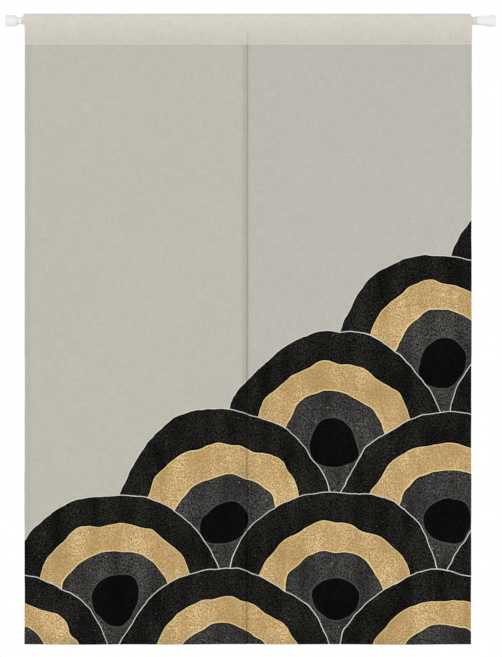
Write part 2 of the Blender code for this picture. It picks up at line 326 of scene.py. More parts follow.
# Smooth coats and mouldings of the rod. Each is up to COAT_SMOOTHER less rough and up to COAT_ROUGHER more
# rough than its roughness, by a fine noise with grain cells to the metre.
Coat = namedtuple("Coat", "name colour roughness grain")
# The tubes share one white coating. The outer tube's is greyer, partly its own tone and partly painted shade
# from the heading over it, and the inner tube's is painted whiter than the pads, a painted light against the
# shade beside the left pad.
OUTER_COAT = Coat("outer_tube_coating", (223, 224, 223), roughness=0.32, grain=420.0)
INNER_COAT = Coat("inner_tube_coating", (246, 247, 246), roughness=0.32, grain=420.0)
PAD_COAT = Coat("white_moulding", (240, 241, 240), roughness=0.42, grain=700.0)
COAT_CLOUDS = 60.0
COAT_TONES = (0.985, 1.005)
COAT_SMOOTHER = 0.04
COAT_ROUGHER = 0.06
COAT_RELIEF = 0.02 * MM
COAT_SHINE = 0.45

# Camera, level and square to the curtain's front
PHOTO_HEIGHT_PX = 657
METRES_PER_PX = 1.902 * MM
CAMERA_DISTANCE = 6.0
CAMERA_X = 0.7 * MM
CAMERA_Z = 601.2 * MM
SENSOR = 36.0
SEEN_FROM = 0.1
SEEN_TO = 50

# Lights, as broad suns so that the cloth is lit evenly. azimuth is where a light stands, in degrees to the
# right of the camera, and spread is its width in degrees. AMBIENT is the strength of light from all round.
AMBIENT = 0.65
SoftLight = namedtuple("SoftLight", "name azimuth elevation strength spread")
LIGHTS = [
    SoftLight(name="key", azimuth=-35, elevation=1, strength=1.0, spread=40),
    SoftLight(name="fill", azimuth=65, elevation=-6, strength=0.67, spread=60),
    SoftLight(name="rear", azimuth=160, elevation=30, strength=1.3, spread=60),
]

# Floor
FLOOR_DROP = 0.75
FLOOR_RADIUS = 2.4
FLOOR_SIDES = 96
FLOOR_CLOUDS = 2.0
FLOOR_TONES = (0.99, 1.01)
FLOOR_ROUGHNESS = 0.9


def smooth(value):
    """Rises gently from 0 to 1 as the value goes from 0 to 1."""
    clamped = np.clip(value, 0.0, 1.0)
    return clamped * clamped * (3 - 2 * clamped)


def bell(distance, width):
    """1 at no distance, falling to nothing a few widths away."""
    return np.exp(-((distance / width) ** 2))


def ripple(along, waves):
    """Uneven small waves along a line. Each starts at a phase of its own, taken from its length."""
    height = 0.0
    for wave in waves:
        height = height + wave.height * np.sin(2 * math.pi * along / wave.length + wave.length / MM)
    return height


def spaced(start, end, pitch):
    """Evenly spaced values from start to end, both ends included, about one pitch apart."""
    count = max(1, round(abs(end - start) / pitch))
    return [start + (end - start) * step / count for step in range(count + 1)]


def fall(z):
    """How far a point lies below the heading: 0 at its foot and above, 1 at the hem."""
    return np.clip((HEADING_FOOT_Z - z) / HEADING_FOOT_Z, 0.0, 1.0)


def fold_depth(x, z):
    """How far the soft folds carry the cloth back at a place."""
    depth = 0.0
    for fold in FOLDS:
        middle = fold.across + fold.lean * z / HEADING_FOOT_Z
        strength = smooth((fold.start - z) / fold.start)
        depth = depth + fold.depth * strength * bell(x - middle, fold.width)
    return depth


def lap_offset(x):
    """How far each panel steps out of the common plane where the panels lap over each other at the slit."""
    return LAP_OFFSET * bell(x - SLIT_X, LAP_REACH)


def panel_middle(x, z, side):
    """Middle of the panel's cloth, as the solids have it."""
    down = fall(z)
    lift = SLIT_LIFT * bell(x - SLIT_X, SLIT_LIFT_REACH)
    y = fold_depth(x, z) + side * lap_offset(x) * (1 + LAP_GROWTH * down)
    return np.stack([x + HEM_DRIFT * down, y, z + lift * down], axis=-1)


def edge_share(distance, rounding=EDGE_ROUND):
    """Share of the full thickness at a distance from a folded edge, which is round."""
    near = 1 - np.clip(distance / rounding, 0.0, 1.0)
    return EDGE_LEAST + (1 - EDGE_LEAST) * np.sqrt(1 - near * near)


def hem_share(past_hem):
    """1 on a hem, and falling to 0 over the step at its inner line."""
    return np.clip(1 - past_hem / HEM_STEP, 0.0, 1.0)


def hem_lines(start, hem):
    """Places for the mesh lines of a hem folded at start. hem is negative where it runs backwards."""
    sign = 1 if hem > 0 else -1
    rounded = [start + sign * EDGE_ROUND * share for share in EDGE_LINES]
    inner = spaced(start + sign * EDGE_ROUND, start + hem, HEM_PITCH)
    return rounded + inner + [start + hem + sign * HEM_STEP]


def panel_hems(panel, x, z):
    """Distances past the inner lines of the nearest side hem and of the bottom hem."""
    past_side = np.minimum(x - panel.left - panel.left_hem, panel.right - panel.right_hem - x)
    return past_side, z - BOTTOM_HEM


def panel_relief(panel, x, z):
    """How far the sewing pulls the cloth back, in a groove with small puckers beside it."""
    relief = 0.0
    for seam_x in (panel.left + panel.left_hem - SEAM_INSET, panel.right - panel.right_hem + SEAM_INSET):
        away = x - seam_x
        relief = relief + SEAM_GROOVE * bell(away, GROOVE_WIDTH)
        relief = relief + ripple(z + seam_x, PUCKERS) * bell(away, PUCKER_REACH)
    away = z - (BOTTOM_HEM - SEAM_INSET)
    relief = relief + SEAM_GROOVE * bell(away, GROOVE_WIDTH)
    relief = relief + ripple(x + panel.left, PUCKERS) * bell(away, PUCKER_REACH)
    return relief


def panel_faces(panel, x, z):
    """Front and back of a panel at places on its flat cloth."""
    past_side, past_bottom = panel_hems(panel, x, z)
    edge = edge_share(np.minimum(np.minimum(x - panel.left, panel.right - x), z))
    hem = np.maximum(hem_share(past_side), hem_share(past_bottom))
    middle = panel_middle(x, z, panel.side)
    middle[..., 0] += ripple(z + panel.right, EDGE_WAVES) * (1 - 2 * (x > (panel.left + panel.right) / 2))
    middle[..., 1] += panel_relief(panel, x, z)
    front = middle.copy()
    back = middle.copy()
    front[..., 1] -= FRONT_STAND * edge
    back[..., 1] += (FOLDED_CLOTH * hem + CLOTH * (1 - hem)) * edge - FRONT_STAND * edge
    return front, back


def heading_lap(x, side):
    """How far the lap pushes the heading's foot out, or lets it in past the edge of the nearer panel.

    side is -1 for the front foot, which the left panel's lap pushes out, and 1 for the back foot.
    """
    past_edge = side * (SLIT_X - x) - SLIT_LAP / 2
    return lap_offset(x) * (1 - 2 * smooth(past_edge / LAP_STEP))


def heading_line(x, side):
    """Half of the heading's outer face in section, from the foot up to the crease on top of the rod.

    side is -1 for the front half and 1 for the back half, and y is the distance to that side. It is the
    solid's outer face, but for a foot that lies closer to the panels and a leg and gable that are a little
    rounder. Returns the distance along the cloth, y and z, and the outward direction in y and z, each as
    rows by columns.
    """
    foot_y = heading_lap(x, side) + (FRONT_FOOT_STAND if side < 0 else BACK_FOOT_STAND)
    wrap_radius = OUTER_TUBE_RADIUS + TOUCH_GAP + SOLID_HEADING_HEM
    crease_radius = RIDGE_RADIUS + SOLID_HEADING_HEM / 2
    crease_z = CURTAIN_DROP - crease_radius
    leg_foot_z = TURN_TOP_Z + LEG_STAND
    foot_below_rod = ROD_Z - leg_foot_z
    gable_angle = math.asin((wrap_radius - crease_radius) / (crease_z - ROD_Z))
    foot_angle = np.arctan2(foot_below_rod, foot_y)
    leg_angle = np.arccos(wrap_radius / np.hypot(foot_y, foot_below_rod)) - foot_angle
    ys, zs = [], []

    def add(y, z):
        ys.append(y + 0 * x)
        zs.append(z + 0 * x)

    def add_bulging(start, end, bulge, steps):
        for step in range(1, steps):
            share = step / steps
            stand = 4 * bulge * share * (1 - share)
            add(start[0] + (end[0] - start[0]) * share + stand, start[1] + (end[1] - start[1]) * share)

    def on_circle(radius, middle_z, angle):
        return radius * np.cos(angle), middle_z + radius * np.sin(angle)

    rounded = [FOOT_ROUND * share for share in FOOT_LINES]
    for up in rounded + spaced(FOOT_ROUND, HEADING_TURN, HEM_PITCH / 2) + [HEADING_TURN + HEM_STEP]:
        add(foot_y, HEADING_FOOT_Z + up)
    add_bulging((foot_y, leg_foot_z), on_circle(wrap_radius, ROD_Z, leg_angle), LEG_BULGE, LEG_STEPS)
    for step in range(WRAP_STEPS + 1):
        add(*on_circle(wrap_radius, ROD_Z, leg_angle + (gable_angle - leg_angle) * step / WRAP_STEPS))
    gable_top = on_circle(crease_radius, crease_z, gable_angle)
    add_bulging(on_circle(wrap_radius, ROD_Z, gable_angle), gable_top, GABLE_BULGE, GABLE_STEPS)
    for step in range(RIDGE_STEPS + 1):
        angle = gable_angle + (math.pi / 2 - gable_angle) * step / RIDGE_STEPS
        add(*on_circle(crease_radius, crease_z, angle))
    y, z = np.array(ys), np.array(zs)
    along = np.zeros_like(y)
    along[1:] = np.cumsum(np.hypot(np.diff(y, axis=0), np.diff(z, axis=0)), axis=0)
    slope_y, slope_z = np.gradient(y, axis=0), np.gradient(z, axis=0)
    slope = np.hypot(slope_y, slope_z)
    return along, y, z, slope_z / slope, -slope_y / slope


def mouth_shift(z, end):
    """How far the end of the heading reaches out at a height: most at the rod, and nothing below it."""
    spread = end.ridge + (end.mouth - end.ridge) * smooth((CURTAIN_DROP - z) / MOUTH_SLOPE)
    return spread * smooth((z - (ROD_Z - MOUTH_BELOW_ROD)) / MOUTH_END_SLOPE)


def heading_faces(x):
    """Outer and inner face of the heading at columns x, from the front foot over the rod to the back foot.

    The last two results are its maps: the place on the flat cloth, and the distances past the hems.
    """
    outer, inner, flat, hems = [], [], [], []
    for side in (-1, 1):
        along, y, z, out_y, out_z = heading_line(x, side)
        past_foot = along - HEADING_TURN
        past_side = np.minimum(x - CURTAIN_LEFT, CURTAIN_RIGHT - x) - HEADING_HEM + 0 * along
        side_edge = edge_share(np.minimum(x - CURTAIN_LEFT, CURTAIN_RIGHT - x))
        foot_edge = edge_share(along, FOOT_ROUND)
        hem = np.maximum(hem_share(past_side), hem_share(past_foot))
        thickness = FOLDED_CLOTH * hem + CLOTH * (1 - hem)
        relief = FOOT_GROOVE * bell(along - FOOT_SEAM, GROOVE_WIDTH)
        relief = relief + ripple(x, PUCKERS) * bell(along - FOOT_SEAM, PUCKER_REACH)
        relief = relief + SEAM_GROOVE * bell(past_side + SEAM_INSET, GROOVE_WIDTH)
        relief = relief * np.minimum(side_edge, foot_edge)
        outer_stand = -relief - thickness * ((1 - side_edge) / 2 + (1 - foot_edge) * side_edge)
        inner_stand = -thickness * (1 + side_edge) / 2
        from_left = 1 - smooth((x - CURTAIN_LEFT) / MOUTH_REACH)
        from_right = 1 - smooth((CURTAIN_RIGHT - x) / MOUTH_REACH)
        moved_x = x + mouth_shift(z, RIGHT_END) * from_right - mouth_shift(z, LEFT_END) * from_left
        for face, stand in ((outer, outer_stand), (inner, inner_stand)):
            face.append(np.stack([moved_x, side * (y + out_y * stand), z + out_z * stand], axis=-1))
        flat.append(np.stack([x + 0 * along, side * (along[-1] - along)], axis=-1))
        hems.append(np.stack([past_side, past_foot], axis=-1))
    return [np.concatenate([front, behind[-2::-1]]) for front, behind in (outer, inner, flat, hems)]


def closed_sheet(name, front, back, maps, materials):
    """A closed thin sheet from two grids of points, rows by columns.

    maps has each map's values by its name. The first material is the front's, and the last is the back's.
    """
    rows, columns = front.shape[:2]
    count = rows * columns
    points = np.concatenate([front.reshape(-1, 3), back.reshape(-1, 3)])
    index = np.arange(count).reshape(rows, columns)
    corners = [index[:-1, :-1], index[:-1, 1:], index[1:, 1:], index[1:, :-1]]
    front_quads = np.stack([corner.ravel() for corner in corners], axis=-1)
    back_quads = front_quads[:, ::-1] + count
    rim = np.concatenate([index[0, :-1], index[:-1, -1], index[-1, :0:-1], index[:0:-1, 0]])
    ahead = np.roll(rim, -1)
    rim_quads = np.stack([ahead, rim, rim + count, ahead + count], axis=-1)
    quads = np.concatenate([front_quads, back_quads, rim_quads])
    mesh = bpy.data.meshes.new(name)
    mesh.from_pydata(points.tolist(), [], quads.tolist())
    for map_name, values in maps.items():
        by_point = np.concatenate([values.reshape(-1, 2), values.reshape(-1, 2)])
        layer = mesh.uv_layers.new(name=map_name, do_init=False)
        layer.uv.foreach_set("vector", by_point[quads.ravel()].astype(np.float32).ravel())
    slots = np.zeros(len(quads), dtype=np.int32)
    slots[len(front_quads) : len(front_quads) + len(back_quads)] = len(materials) - 1
    for material in materials:
        mesh.materials.append(material)
    mesh.polygons.foreach_set("material_index", slots)
    mesh.shade_smooth()
    mesh.update()
    placed = bpy.data.objects.new(name, mesh)
    bpy.context.scene.collection.objects.link(placed)
    return placed


def make_panel(panel, materials):
    """The cloth of a panel, with mesh lines close together on its hems."""
    columns = hem_lines(panel.left, panel.left_hem)
    far_columns = hem_lines(panel.right, -panel.right_hem)[::-1]
    columns += spaced(columns[-1], far_columns[0], PANEL_PITCH)[1:-1] + far_columns
    rows = hem_lines(0.0, BOTTOM_HEM)
    rows += spaced(rows[-1], HEADING_FOOT_Z, PANEL_PITCH)[1:]
    rows += spaced(HEADING_FOOT_Z, PANEL_TOP_Z, PANEL_PITCH)[1:]
    x, z = np.meshgrid(np.array(columns), np.array(rows))
    front, back = panel_faces(panel, x, z)
    past_side, past_bottom = panel_hems(panel, x, z)
    maps = {"cloth": np.stack([x, z], axis=-1), "hems": np.stack([past_side, past_bottom], axis=-1)}
    return closed_sheet(f"{panel.node}_cloth", front, back, maps, materials)


def make_heading(material):
    """The cloth of the heading, with mesh lines close together on its hems and at the lap."""
    lap_left = SLIT_X - SLIT_LAP / 2 - LAP_STEP
    lap_right = SLIT_X + SLIT_LAP / 2 + LAP_STEP
    columns = hem_lines(CURTAIN_LEFT, HEADING_HEM)
    far_columns = hem_lines(CURTAIN_RIGHT, -HEADING_HEM)[::-1]
    columns += spaced(columns[-1], lap_left, HEADING_PITCH)[1:]
    columns += spaced(lap_left, lap_right, LAP_PITCH)[1:]
    columns += spaced(lap_right, far_columns[0], HEADING_PITCH)[1:-1] + far_columns
    outer, inner, flat, hems = heading_faces(np.array(columns))
    return closed_sheet("heading_cloth", outer, inner, {"cloth": flat, "hems": hems}, [material])


def panel_seams(panel):
    """Lines of sewing on a panel, each as its points and the direction that the thread stands out to."""
    seams = []
    up = np.array(spaced(2 * SEAM_INSET, HEADING_FOOT_Z - SEAM_INSET, SEAM_STEP))
    for x in (panel.left + panel.left_hem - SEAM_INSET, panel.right - panel.right_hem + SEAM_INSET):
        front, back = panel_faces(panel, x + 0 * up, up)
        seams += [(front, -1), (back, 1)]
    across = np.array(spaced(panel.left + SEAM_INSET, panel.right - SEAM_INSET, SEAM_STEP))
    front, back = panel_faces(panel, across, BOTTOM_HEM - SEAM_INSET + 0 * across)
    seams += [(front, -1), (back, 1)]
    return [(points, np.array([0, side, 0]) + 0 * points) for points, side in seams]


def heading_seams():
    """Lines of sewing on the heading: along both feet, and round the rod at each end."""
    across = np.array(spaced(CURTAIN_LEFT + SEAM_INSET, CURTAIN_RIGHT - SEAM_INSET, SEAM_STEP))
    outer, _, flat, _ = heading_faces(across)
    from_foot = flat[: len(flat) // 2, 0, 1] - flat[0, 0, 1]
    row = int(np.argmin(np.abs(from_foot - FOOT_SEAM)))
    front = outer[row]
    behind = outer[-1 - row]
    seams = [(front, np.array([0, -1, 0]) + 0 * front), (behind, np.array([0, 1, 0]) + 0 * behind)]
    for x in (CURTAIN_LEFT + HEADING_HEM - SEAM_INSET, CURTAIN_RIGHT - HEADING_HEM + SEAM_INSET):
        outer, inner, _, _ = heading_faces(np.array([x]))
        out = outer[:, 0] - inner[:, 0]
        seams.append((outer[:, 0], out / np.linalg.norm(out, axis=1, keepdims=True)))
    return seams


def along_line(values, far, at):
    """Values in three parts, given at the distances far along a line, as they are at other distances."""
    return np.stack([np.interp(at, far, values[:, axis]) for axis in range(3)], axis=-1)


def make_sewing(name, seams, material):
    """Stitches along seams, each a short run of thread whose ends dip into the cloth."""
    curve = bpy.data.curves.new(name, "CURVE")
    curve.dimensions = "3D"
    curve.bevel_depth = THREAD_RADIUS
    curve.bevel_resolution = 1
    curve.use_fill_caps = True
    bends = np.array([bend.along for bend in STITCH]) * STITCH_SHARE * STITCH_PITCH
    stands = np.array([[bend.stand] for bend in STITCH]) * THREAD_RADIUS
    for points, out in seams:
        far = np.concatenate([[0], np.cumsum(np.linalg.norm(np.diff(points, axis=0), axis=1))])
        for start in np.arange(STITCH_PITCH, far[-1] - STITCH_PITCH, STITCH_PITCH):
            at = start + bends
            places = along_line(points, far, at) + along_line(out, far, at) * stands
            spline = curve.splines.new("POLY")
            spline.points.add(len(places) - 1)
            spline.points.foreach_set("co", np.column_stack([places, np.ones(len(places))]).ravel())
    curve.materials.append(material)
    placed = bpy.data.objects.new(name, curve)
    bpy.context.scene.collection.objects.link(placed)
    return placed


def turned_object(name, material, profile, end_x, points_right):
    """A turned piece along the rod. Its profile gives (distance from the end face, radius), face first."""
    mesh = bpy.data.meshes.new(name)
    points = [(radius, 0, -distance) for distance, radius in profile]
    edges = [(index, index + 1) for index in range(len(points) - 1)]
    closed = profile[0][1] > 0
    if closed:
        edges.append((len(points) - 1, 0))
    mesh.from_pydata(points, edges, [])
    mesh.materials.append(material)
    placed = bpy.data.objects.new(name, mesh)
    bpy.context.scene.collection.objects.link(placed)
    placed.location = (end_x, 0, ROD_Z)
    placed.rotation_euler = (0, math.pi / 2 if points_right else -math.pi / 2, 0)
    screw = placed.modifiers.new("Turn", "SCREW")
    screw.axis = "Z"
    screw.steps = TURNED_STEPS
    screw.render_steps = TURNED_STEPS
    screw.use_merge_vertices = True
    screw.merge_threshold = MERGE_REACH
    screw.use_smooth_shade = True
    return placed


def pad_profile(pad, tube_radius):
    """Outline of a pad from the middle of its face, round the rim and taper, and back up its socket."""
    socket = tube_radius + SOCKET_GAP
    sleeve = tube_radius + TOUCH_GAP + SLEEVE_WALL
    profile = [(0.0, 0.0), (0.0, pad.face * FACE_RING), (0.0, pad.face)]
    for step in range(1, RIM_STEPS + 1):
        angle = math.pi / 2 * step / RIM_STEPS
        radius = pad.face + (pad.fattest - pad.face) * math.sin(angle)
        profile.append((pad.rim * (1 - math.cos(angle)), radius))
    for step in range(TAPER_STEPS + 1):
        share = step / TAPER_STEPS
        distance = pad.taper_start + (pad.taper_end - pad.taper_start) * share
        profile.append((distance, sleeve + (pad.fattest - sleeve) * (1 - float(smooth(share)))))
    if pad.length > pad.taper_end:
        profile.append((pad.length - SLEEVE_END, sleeve))
    lip = socket + LIP_WALL
    profile += [(pad.length, lip), (pad.length, socket), (pad.floor, socket), (pad.floor, 0.0)]
    return profile


def tube_profile(radius, start, length):
    """A tube's wall as a closed loop, down its outside and back up its bore, with its outer edges eased."""
    bore = radius - TUBE_WALL
    end = start + length
    return [
        (start, radius - TUBE_EDGE),
        (start + TUBE_EDGE, radius),
        (end - TUBE_EDGE, radius),
        (end, radius - TUBE_EDGE),
        (end, bore),
        (start, bore),
    ]


def linear(colour, fourth=1.0):
    """A linear colour and its fourth value, from screen values of 0 to 255 by the sRGB curve."""
    shares = [level / 255 for level in colour]
    levels = [share / 12.92 if share <= 0.04045 else ((share + 0.055) / 1.055) ** 2.4 for share in shares]
    return (*levels, fourth)


class Graph:
    """A material's nodes, with short calls that add a node, feed it and return what it gives."""

    def __init__(self, name):
        self.material = bpy.data.materials.new(name)
        self.material.use_nodes = True
        self.tree = self.material.node_tree
        self.shader = self.tree.nodes["Principled BSDF"]

    def feed(self, socket, value):
        if isinstance(value, bpy.types.NodeSocket):
            self.tree.links.new(value, socket)
        else:
            socket.default_value = value

    def node(self, kind, inputs, **settings):
        made = self.tree.nodes.new(kind)
        for name, value in settings.items():
            setattr(made, name, value)
        for name, value in inputs.items():
            self.feed(made.inputs[name], value)
        return made

    def math(self, operation, *values):
        return self.node("ShaderNodeMath", dict(enumerate(values)), operation=operation).outputs[0]

    def vector(self, operation, *values):
        made = self.node("ShaderNodeVectorMath", dict(enumerate(values)), operation=operation)
        return made.outputs["Value" if operation == "DISTANCE" else "Vector"]

    def blend(self, share, low, high):
        """A number between two others."""
        return self.node("ShaderNodeMix", {0: share, 2: low, 3: high}, data_type="FLOAT").outputs[0]

    def blend_colour(self, share, low, high, way="MIX"):
        inputs = {0: share, 6: low, 7: high}
        return self.node("ShaderNodeMix", inputs, data_type="RGBA", blend_type=way).outputs[2]

    def spread(self, value, low, high, to_low=0.0, to_high=1.0):
        """A value stretched from one range to another, and held within it."""
        inputs = {"Value": value, "From Min": low, "From Max": high, "To Min": to_low, "To Max": to_high}
        return self.node("ShaderNodeMapRange", inputs).outputs[0]

    def noise(self, place, scale, detail=2.0, distortion=0.0):
        inputs = {"Vector": place, "Scale": scale, "Detail": detail, "Distortion": distortion}
        return self.node("ShaderNodeTexNoise", inputs)

    def cloth_place(self, map_name):
        return self.node("ShaderNodeUVMap", {}, uv_map=map_name).outputs[0]

    def object_place(self):
        return self.node("ShaderNodeTexCoord", {}).outputs["Object"]

    def parts(self, vector):
        return self.node("ShaderNodeSeparateXYZ", {0: vector}).outputs

    def ramp(self, share, colours):
        """Colours in steps: each is (where it starts, colour with its fourth value)."""
        made = self.node("ShaderNodeValToRGB", {0: share})
        made.color_ramp.interpolation = "CONSTANT"
        elements = made.color_ramp.elements
        while len(elements) < len(colours):
            elements.new(1.0)
        for element, (start, colour) in zip(elements, colours):
            element.position = start
            element.color = colour
        return made.outputs

    def finish(self, colour, roughness, height=None, relief=0.0, **constants):
        self.feed(self.shader.inputs["Base Color"], colour)
        self.feed(self.shader.inputs["Roughness"], roughness)
        for name, value in constants.items():
            self.shader.inputs[name.replace("_", " ")].default_value = value
        if height is not None:
            bump = self.node("ShaderNodeBump", {"Height": height, "Distance": relief, "Strength": 1.0})
            self.feed(self.shader.inputs["Normal"], bump.outputs[0])
        return self.material


def wave_centres():
    """Middles of the printed scales, highest row first. A row starts one radius right of the one below."""
    for row in reversed(range(WAVE_ROWS)):
        x = FIRST_WAVE_X + row * WAVE_RADIUS
        while x < CURTAIN_RIGHT + WAVE_RADIUS:
            yield (x, 0.0, LOWEST_WAVE_Z + row * WAVE_ROW)
            x += 2 * WAVE_RADIUS


def add_weave(graph):
    """Plain weave: uneven yarns that pass over and under each other. Returns its tone and height."""
    place = graph.cloth_place("cloth")
    x, z, _ = graph.parts(place)
    waves = [graph.math("SINE", graph.math("MULTIPLY", at, math.pi / YARN_PITCH)) for at in (x, z)]
    over = graph.math("GREATER_THAN", graph.math("MULTIPLY", *waves), 0.0)
    warp, weft = [graph.math("ABSOLUTE", wave) for wave in waves]
    height = graph.blend(over, weft, warp)
    thread_tone = graph.spread(height, 0.0, 1.0, 1 - WEAVE_CONTRAST, 1 + WEAVE_CONTRAST / 2)
    slubs = []
    for cells in (UPRIGHT_SLUBS, LEVEL_SLUBS):
        slubs.append(graph.noise(graph.vector("MULTIPLY", place, cells), 1.0).outputs[0])
    slub = graph.math("ADD", *slubs)
    slub_tone = graph.spread(slub, *TWO_NOISES, 1 - SLUB_CONTRAST, 1 + SLUB_CONTRAST)
    return graph.math("MULTIPLY", thread_tone, slub_tone), graph.math("ADD", height, slub)


def add_ink_noise(graph, flat, kind):
    """One kind of unevenness of the ink."""
    place = graph.vector("MULTIPLY", flat, (1.0, 0.0, kind.upright))
    grey = graph.noise(place, kind.scale, kind.detail, kind.distortion).outputs[0]
    return graph.spread(grey, kind.low, kind.high, kind.least, kind.most)


def add_print(graph, place):
    """Printed waves in grainy inks. Returns their colour and where they cover the cloth."""
    flat = graph.vector("MULTIPLY", place, (1.0, 0.0, 1.0))
    moved = flat
    for scale, reach in WOBBLES:
        noise = graph.noise(flat, scale, detail=1.0).outputs["Color"]
        shift = graph.vector("SUBTRACT", noise, (0.5, 0.5, 0.5))
        shift = graph.vector("MULTIPLY", shift, (reach, 0.0, reach))
        moved = graph.vector("ADD", moved, shift)
    ring = 2 * WAVE_RADIUS
    for centre in wave_centres():
        far = graph.vector("DISTANCE", moved, centre)
        ring = graph.blend(graph.math("LESS_THAN", far, WAVE_RADIUS), ring, far)
    covered = graph.math("LESS_THAN", ring, WAVE_RADIUS)
    fade_start, fade_end = WANDER_FADE
    inner = graph.spread(ring, WAVE_RADIUS * fade_start, WAVE_RADIUS * fade_end, 1.0, 0.0)
    noise = graph.noise(flat, WANDER.scale, detail=1.0).outputs[0]
    wander = graph.math("MULTIPLY", graph.math("SUBTRACT", noise, 0.5), WANDER.reach)
    ring = graph.math("ADD", ring, graph.math("MULTIPLY", wander, inner))
    share = graph.math("DIVIDE", ring, WAVE_RADIUS)
    starts = [0.0] + [band.outer for band in RINGS[:-1]]
    dark = graph.ramp(share, [(start, linear(band.dark, band.glint)) for start, band in zip(starts, RINGS)])
    light = graph.ramp(share, [(start, linear(band.light)) for start, band in zip(starts, RINGS)])
    grain = add_ink_noise(graph, flat, INK_GRAIN)
    patches = add_ink_noise(graph, flat, INK_PATCHES)
    ink = graph.blend_colour(graph.math("MULTIPLY", grain, patches), dark["Color"], light["Color"])
    cells = graph.node("ShaderNodeTexVoronoi", {"Vector": flat, "Scale": GLINT_CELLS})
    near = graph.math("LESS_THAN", cells.outputs["Distance"], GLINT_RADIUS)
    few = graph.math("GREATER_THAN", graph.parts(cells.outputs["Color"])[0], GLINT_NONE)
    glint = graph.math("MULTIPLY", graph.math("MULTIPLY", near, few), dark["Alpha"])
    return graph.blend_colour(glint, ink, linear(GLINT_COLOUR)), covered


def add_drift(graph, place, amount):
    """Slow drift of tone over the cloth, about 1."""
    broad = graph.noise(place, BROAD_DRIFT, detail=1.0).outputs[0]
    narrow = graph.noise(place, NARROW_DRIFT).outputs[0]
    mixed = graph.math("ADD", broad, narrow)
    return graph.spread(mixed, *TWO_NOISES, 1 - amount, 1 + amount)


def add_panel_shade_and_hems(graph):
    """Painted shade on the panels, and where the hems lie. The hems, which let less light through than
    single cloth, are darker, and painted shadow lies by the slit and at the lap's edge.
    """
    past_side, past_bottom, _ = graph.parts(graph.cloth_place("hems"))
    x = graph.parts(graph.object_place())[0]
    from_slit = graph.math("ABSOLUTE", graph.math("SUBTRACT", x, SLIT_X))
    by_slit = graph.math("LESS_THAN", from_slit, 2 * SIDE_HEM)
    left_of_slit = graph.math("LESS_THAN", x, SLIT_X + SLIT_LAP / 2)
    left_depth = graph.blend(by_slit, *LEFT_HEM_SHADE)
    right_depth = graph.blend(by_slit, *RIGHT_HEM_SHADE)
    # Painted shade on the side hems
    side = graph.spread(past_side, *HEM_FADE)
    side = graph.math("MULTIPLY", side, graph.blend(left_of_slit, right_depth, left_depth))
    beside = graph.spread(past_side, *SHADOW_BESIDE_SLIT)
    beside = graph.math("MULTIPLY", beside, graph.math("MULTIPLY", by_slit, left_of_slit))
    # Painted shadow on both sides of the edge of the lap
    from_edge = graph.math("ABSOLUTE", graph.math("SUBTRACT", x, SLIT_X + SLIT_LAP / 2))
    edge = graph.spread(from_edge, *SHADOW_BY_LAP_EDGE)
    # Painted shade on the lower hem, and darker down towards it
    bottom = graph.math("MULTIPLY", graph.math("LESS_THAN", past_bottom, 0.0), BOTTOM_HEM_SHADE)
    sinking = graph.spread(past_bottom, *SINKING)
    tone = 1.0
    for shade in (side, beside, edge, bottom, sinking):
        tone = graph.math("SUBTRACT", tone, shade)
    return tone, graph.math("LESS_THAN", graph.math("MINIMUM", past_side, past_bottom), 0.0)


def toned(graph, colour, tone):
    """A colour made lighter or darker by a tone."""
    grey = graph.node("ShaderNodeCombineColor", {0: tone, 1: tone, 2: tone}).outputs[0]
    return graph.blend_colour(1.0, colour, grey, "MULTIPLY")


def add_panel_tone(graph, place):
    """Tone of a panel's cloth with its painted shade, its height and where it is a hem."""
    weave, height = add_weave(graph)
    hem, on_hem = add_panel_shade_and_hems(graph)
    tone = graph.math("MULTIPLY", graph.math("MULTIPLY", weave, hem), add_drift(graph, place, PANEL_DRIFT))
    return tone, height, on_hem


def panel_front_material():
    """The printed side. Bare cloth is slightly pinker on the right panel."""
    graph = Graph("printed_cloth")
    place = graph.object_place()
    tone, height, _ = add_panel_tone(graph, place)
    ink, covered = add_print(graph, place)
    on_right = graph.math("GREATER_THAN", graph.parts(place)[0], SLIT_X + SLIT_LAP / 2)
    bare = graph.blend_colour(on_right, linear(PANEL_COLOUR), linear(RIGHT_PANEL_COLOUR))
    colour = graph.blend_colour(covered, bare, ink)
    roughness = graph.blend(covered, CLOTH_ROUGHNESS, INK_ROUGHNESS)
    return graph.finish(toned(graph, colour, tone), roughness, height, WEAVE_RELIEF, **CLOTH_SHINE)


def panel_back_material():
    """The unprinted side. The print shows faintly through it, and fully on the hems turned to this side."""
    graph = Graph("cloth_back")
    place = graph.object_place()
    tone, height, on_hem = add_panel_tone(graph, place)
    ink, covered = add_print(graph, place)
    bare = graph.blend_colour(on_hem, linear(BACK_COLOUR), linear(PANEL_COLOUR))
    strength = graph.math("MULTIPLY", covered, graph.blend(on_hem, PRINT_THROUGH, 1.0))
    colour = graph.blend_colour(strength, bare, ink)
    return graph.finish(toned(graph, colour, tone), CLOTH_ROUGHNESS, height, WEAVE_RELIEF, **CLOTH_SHINE)


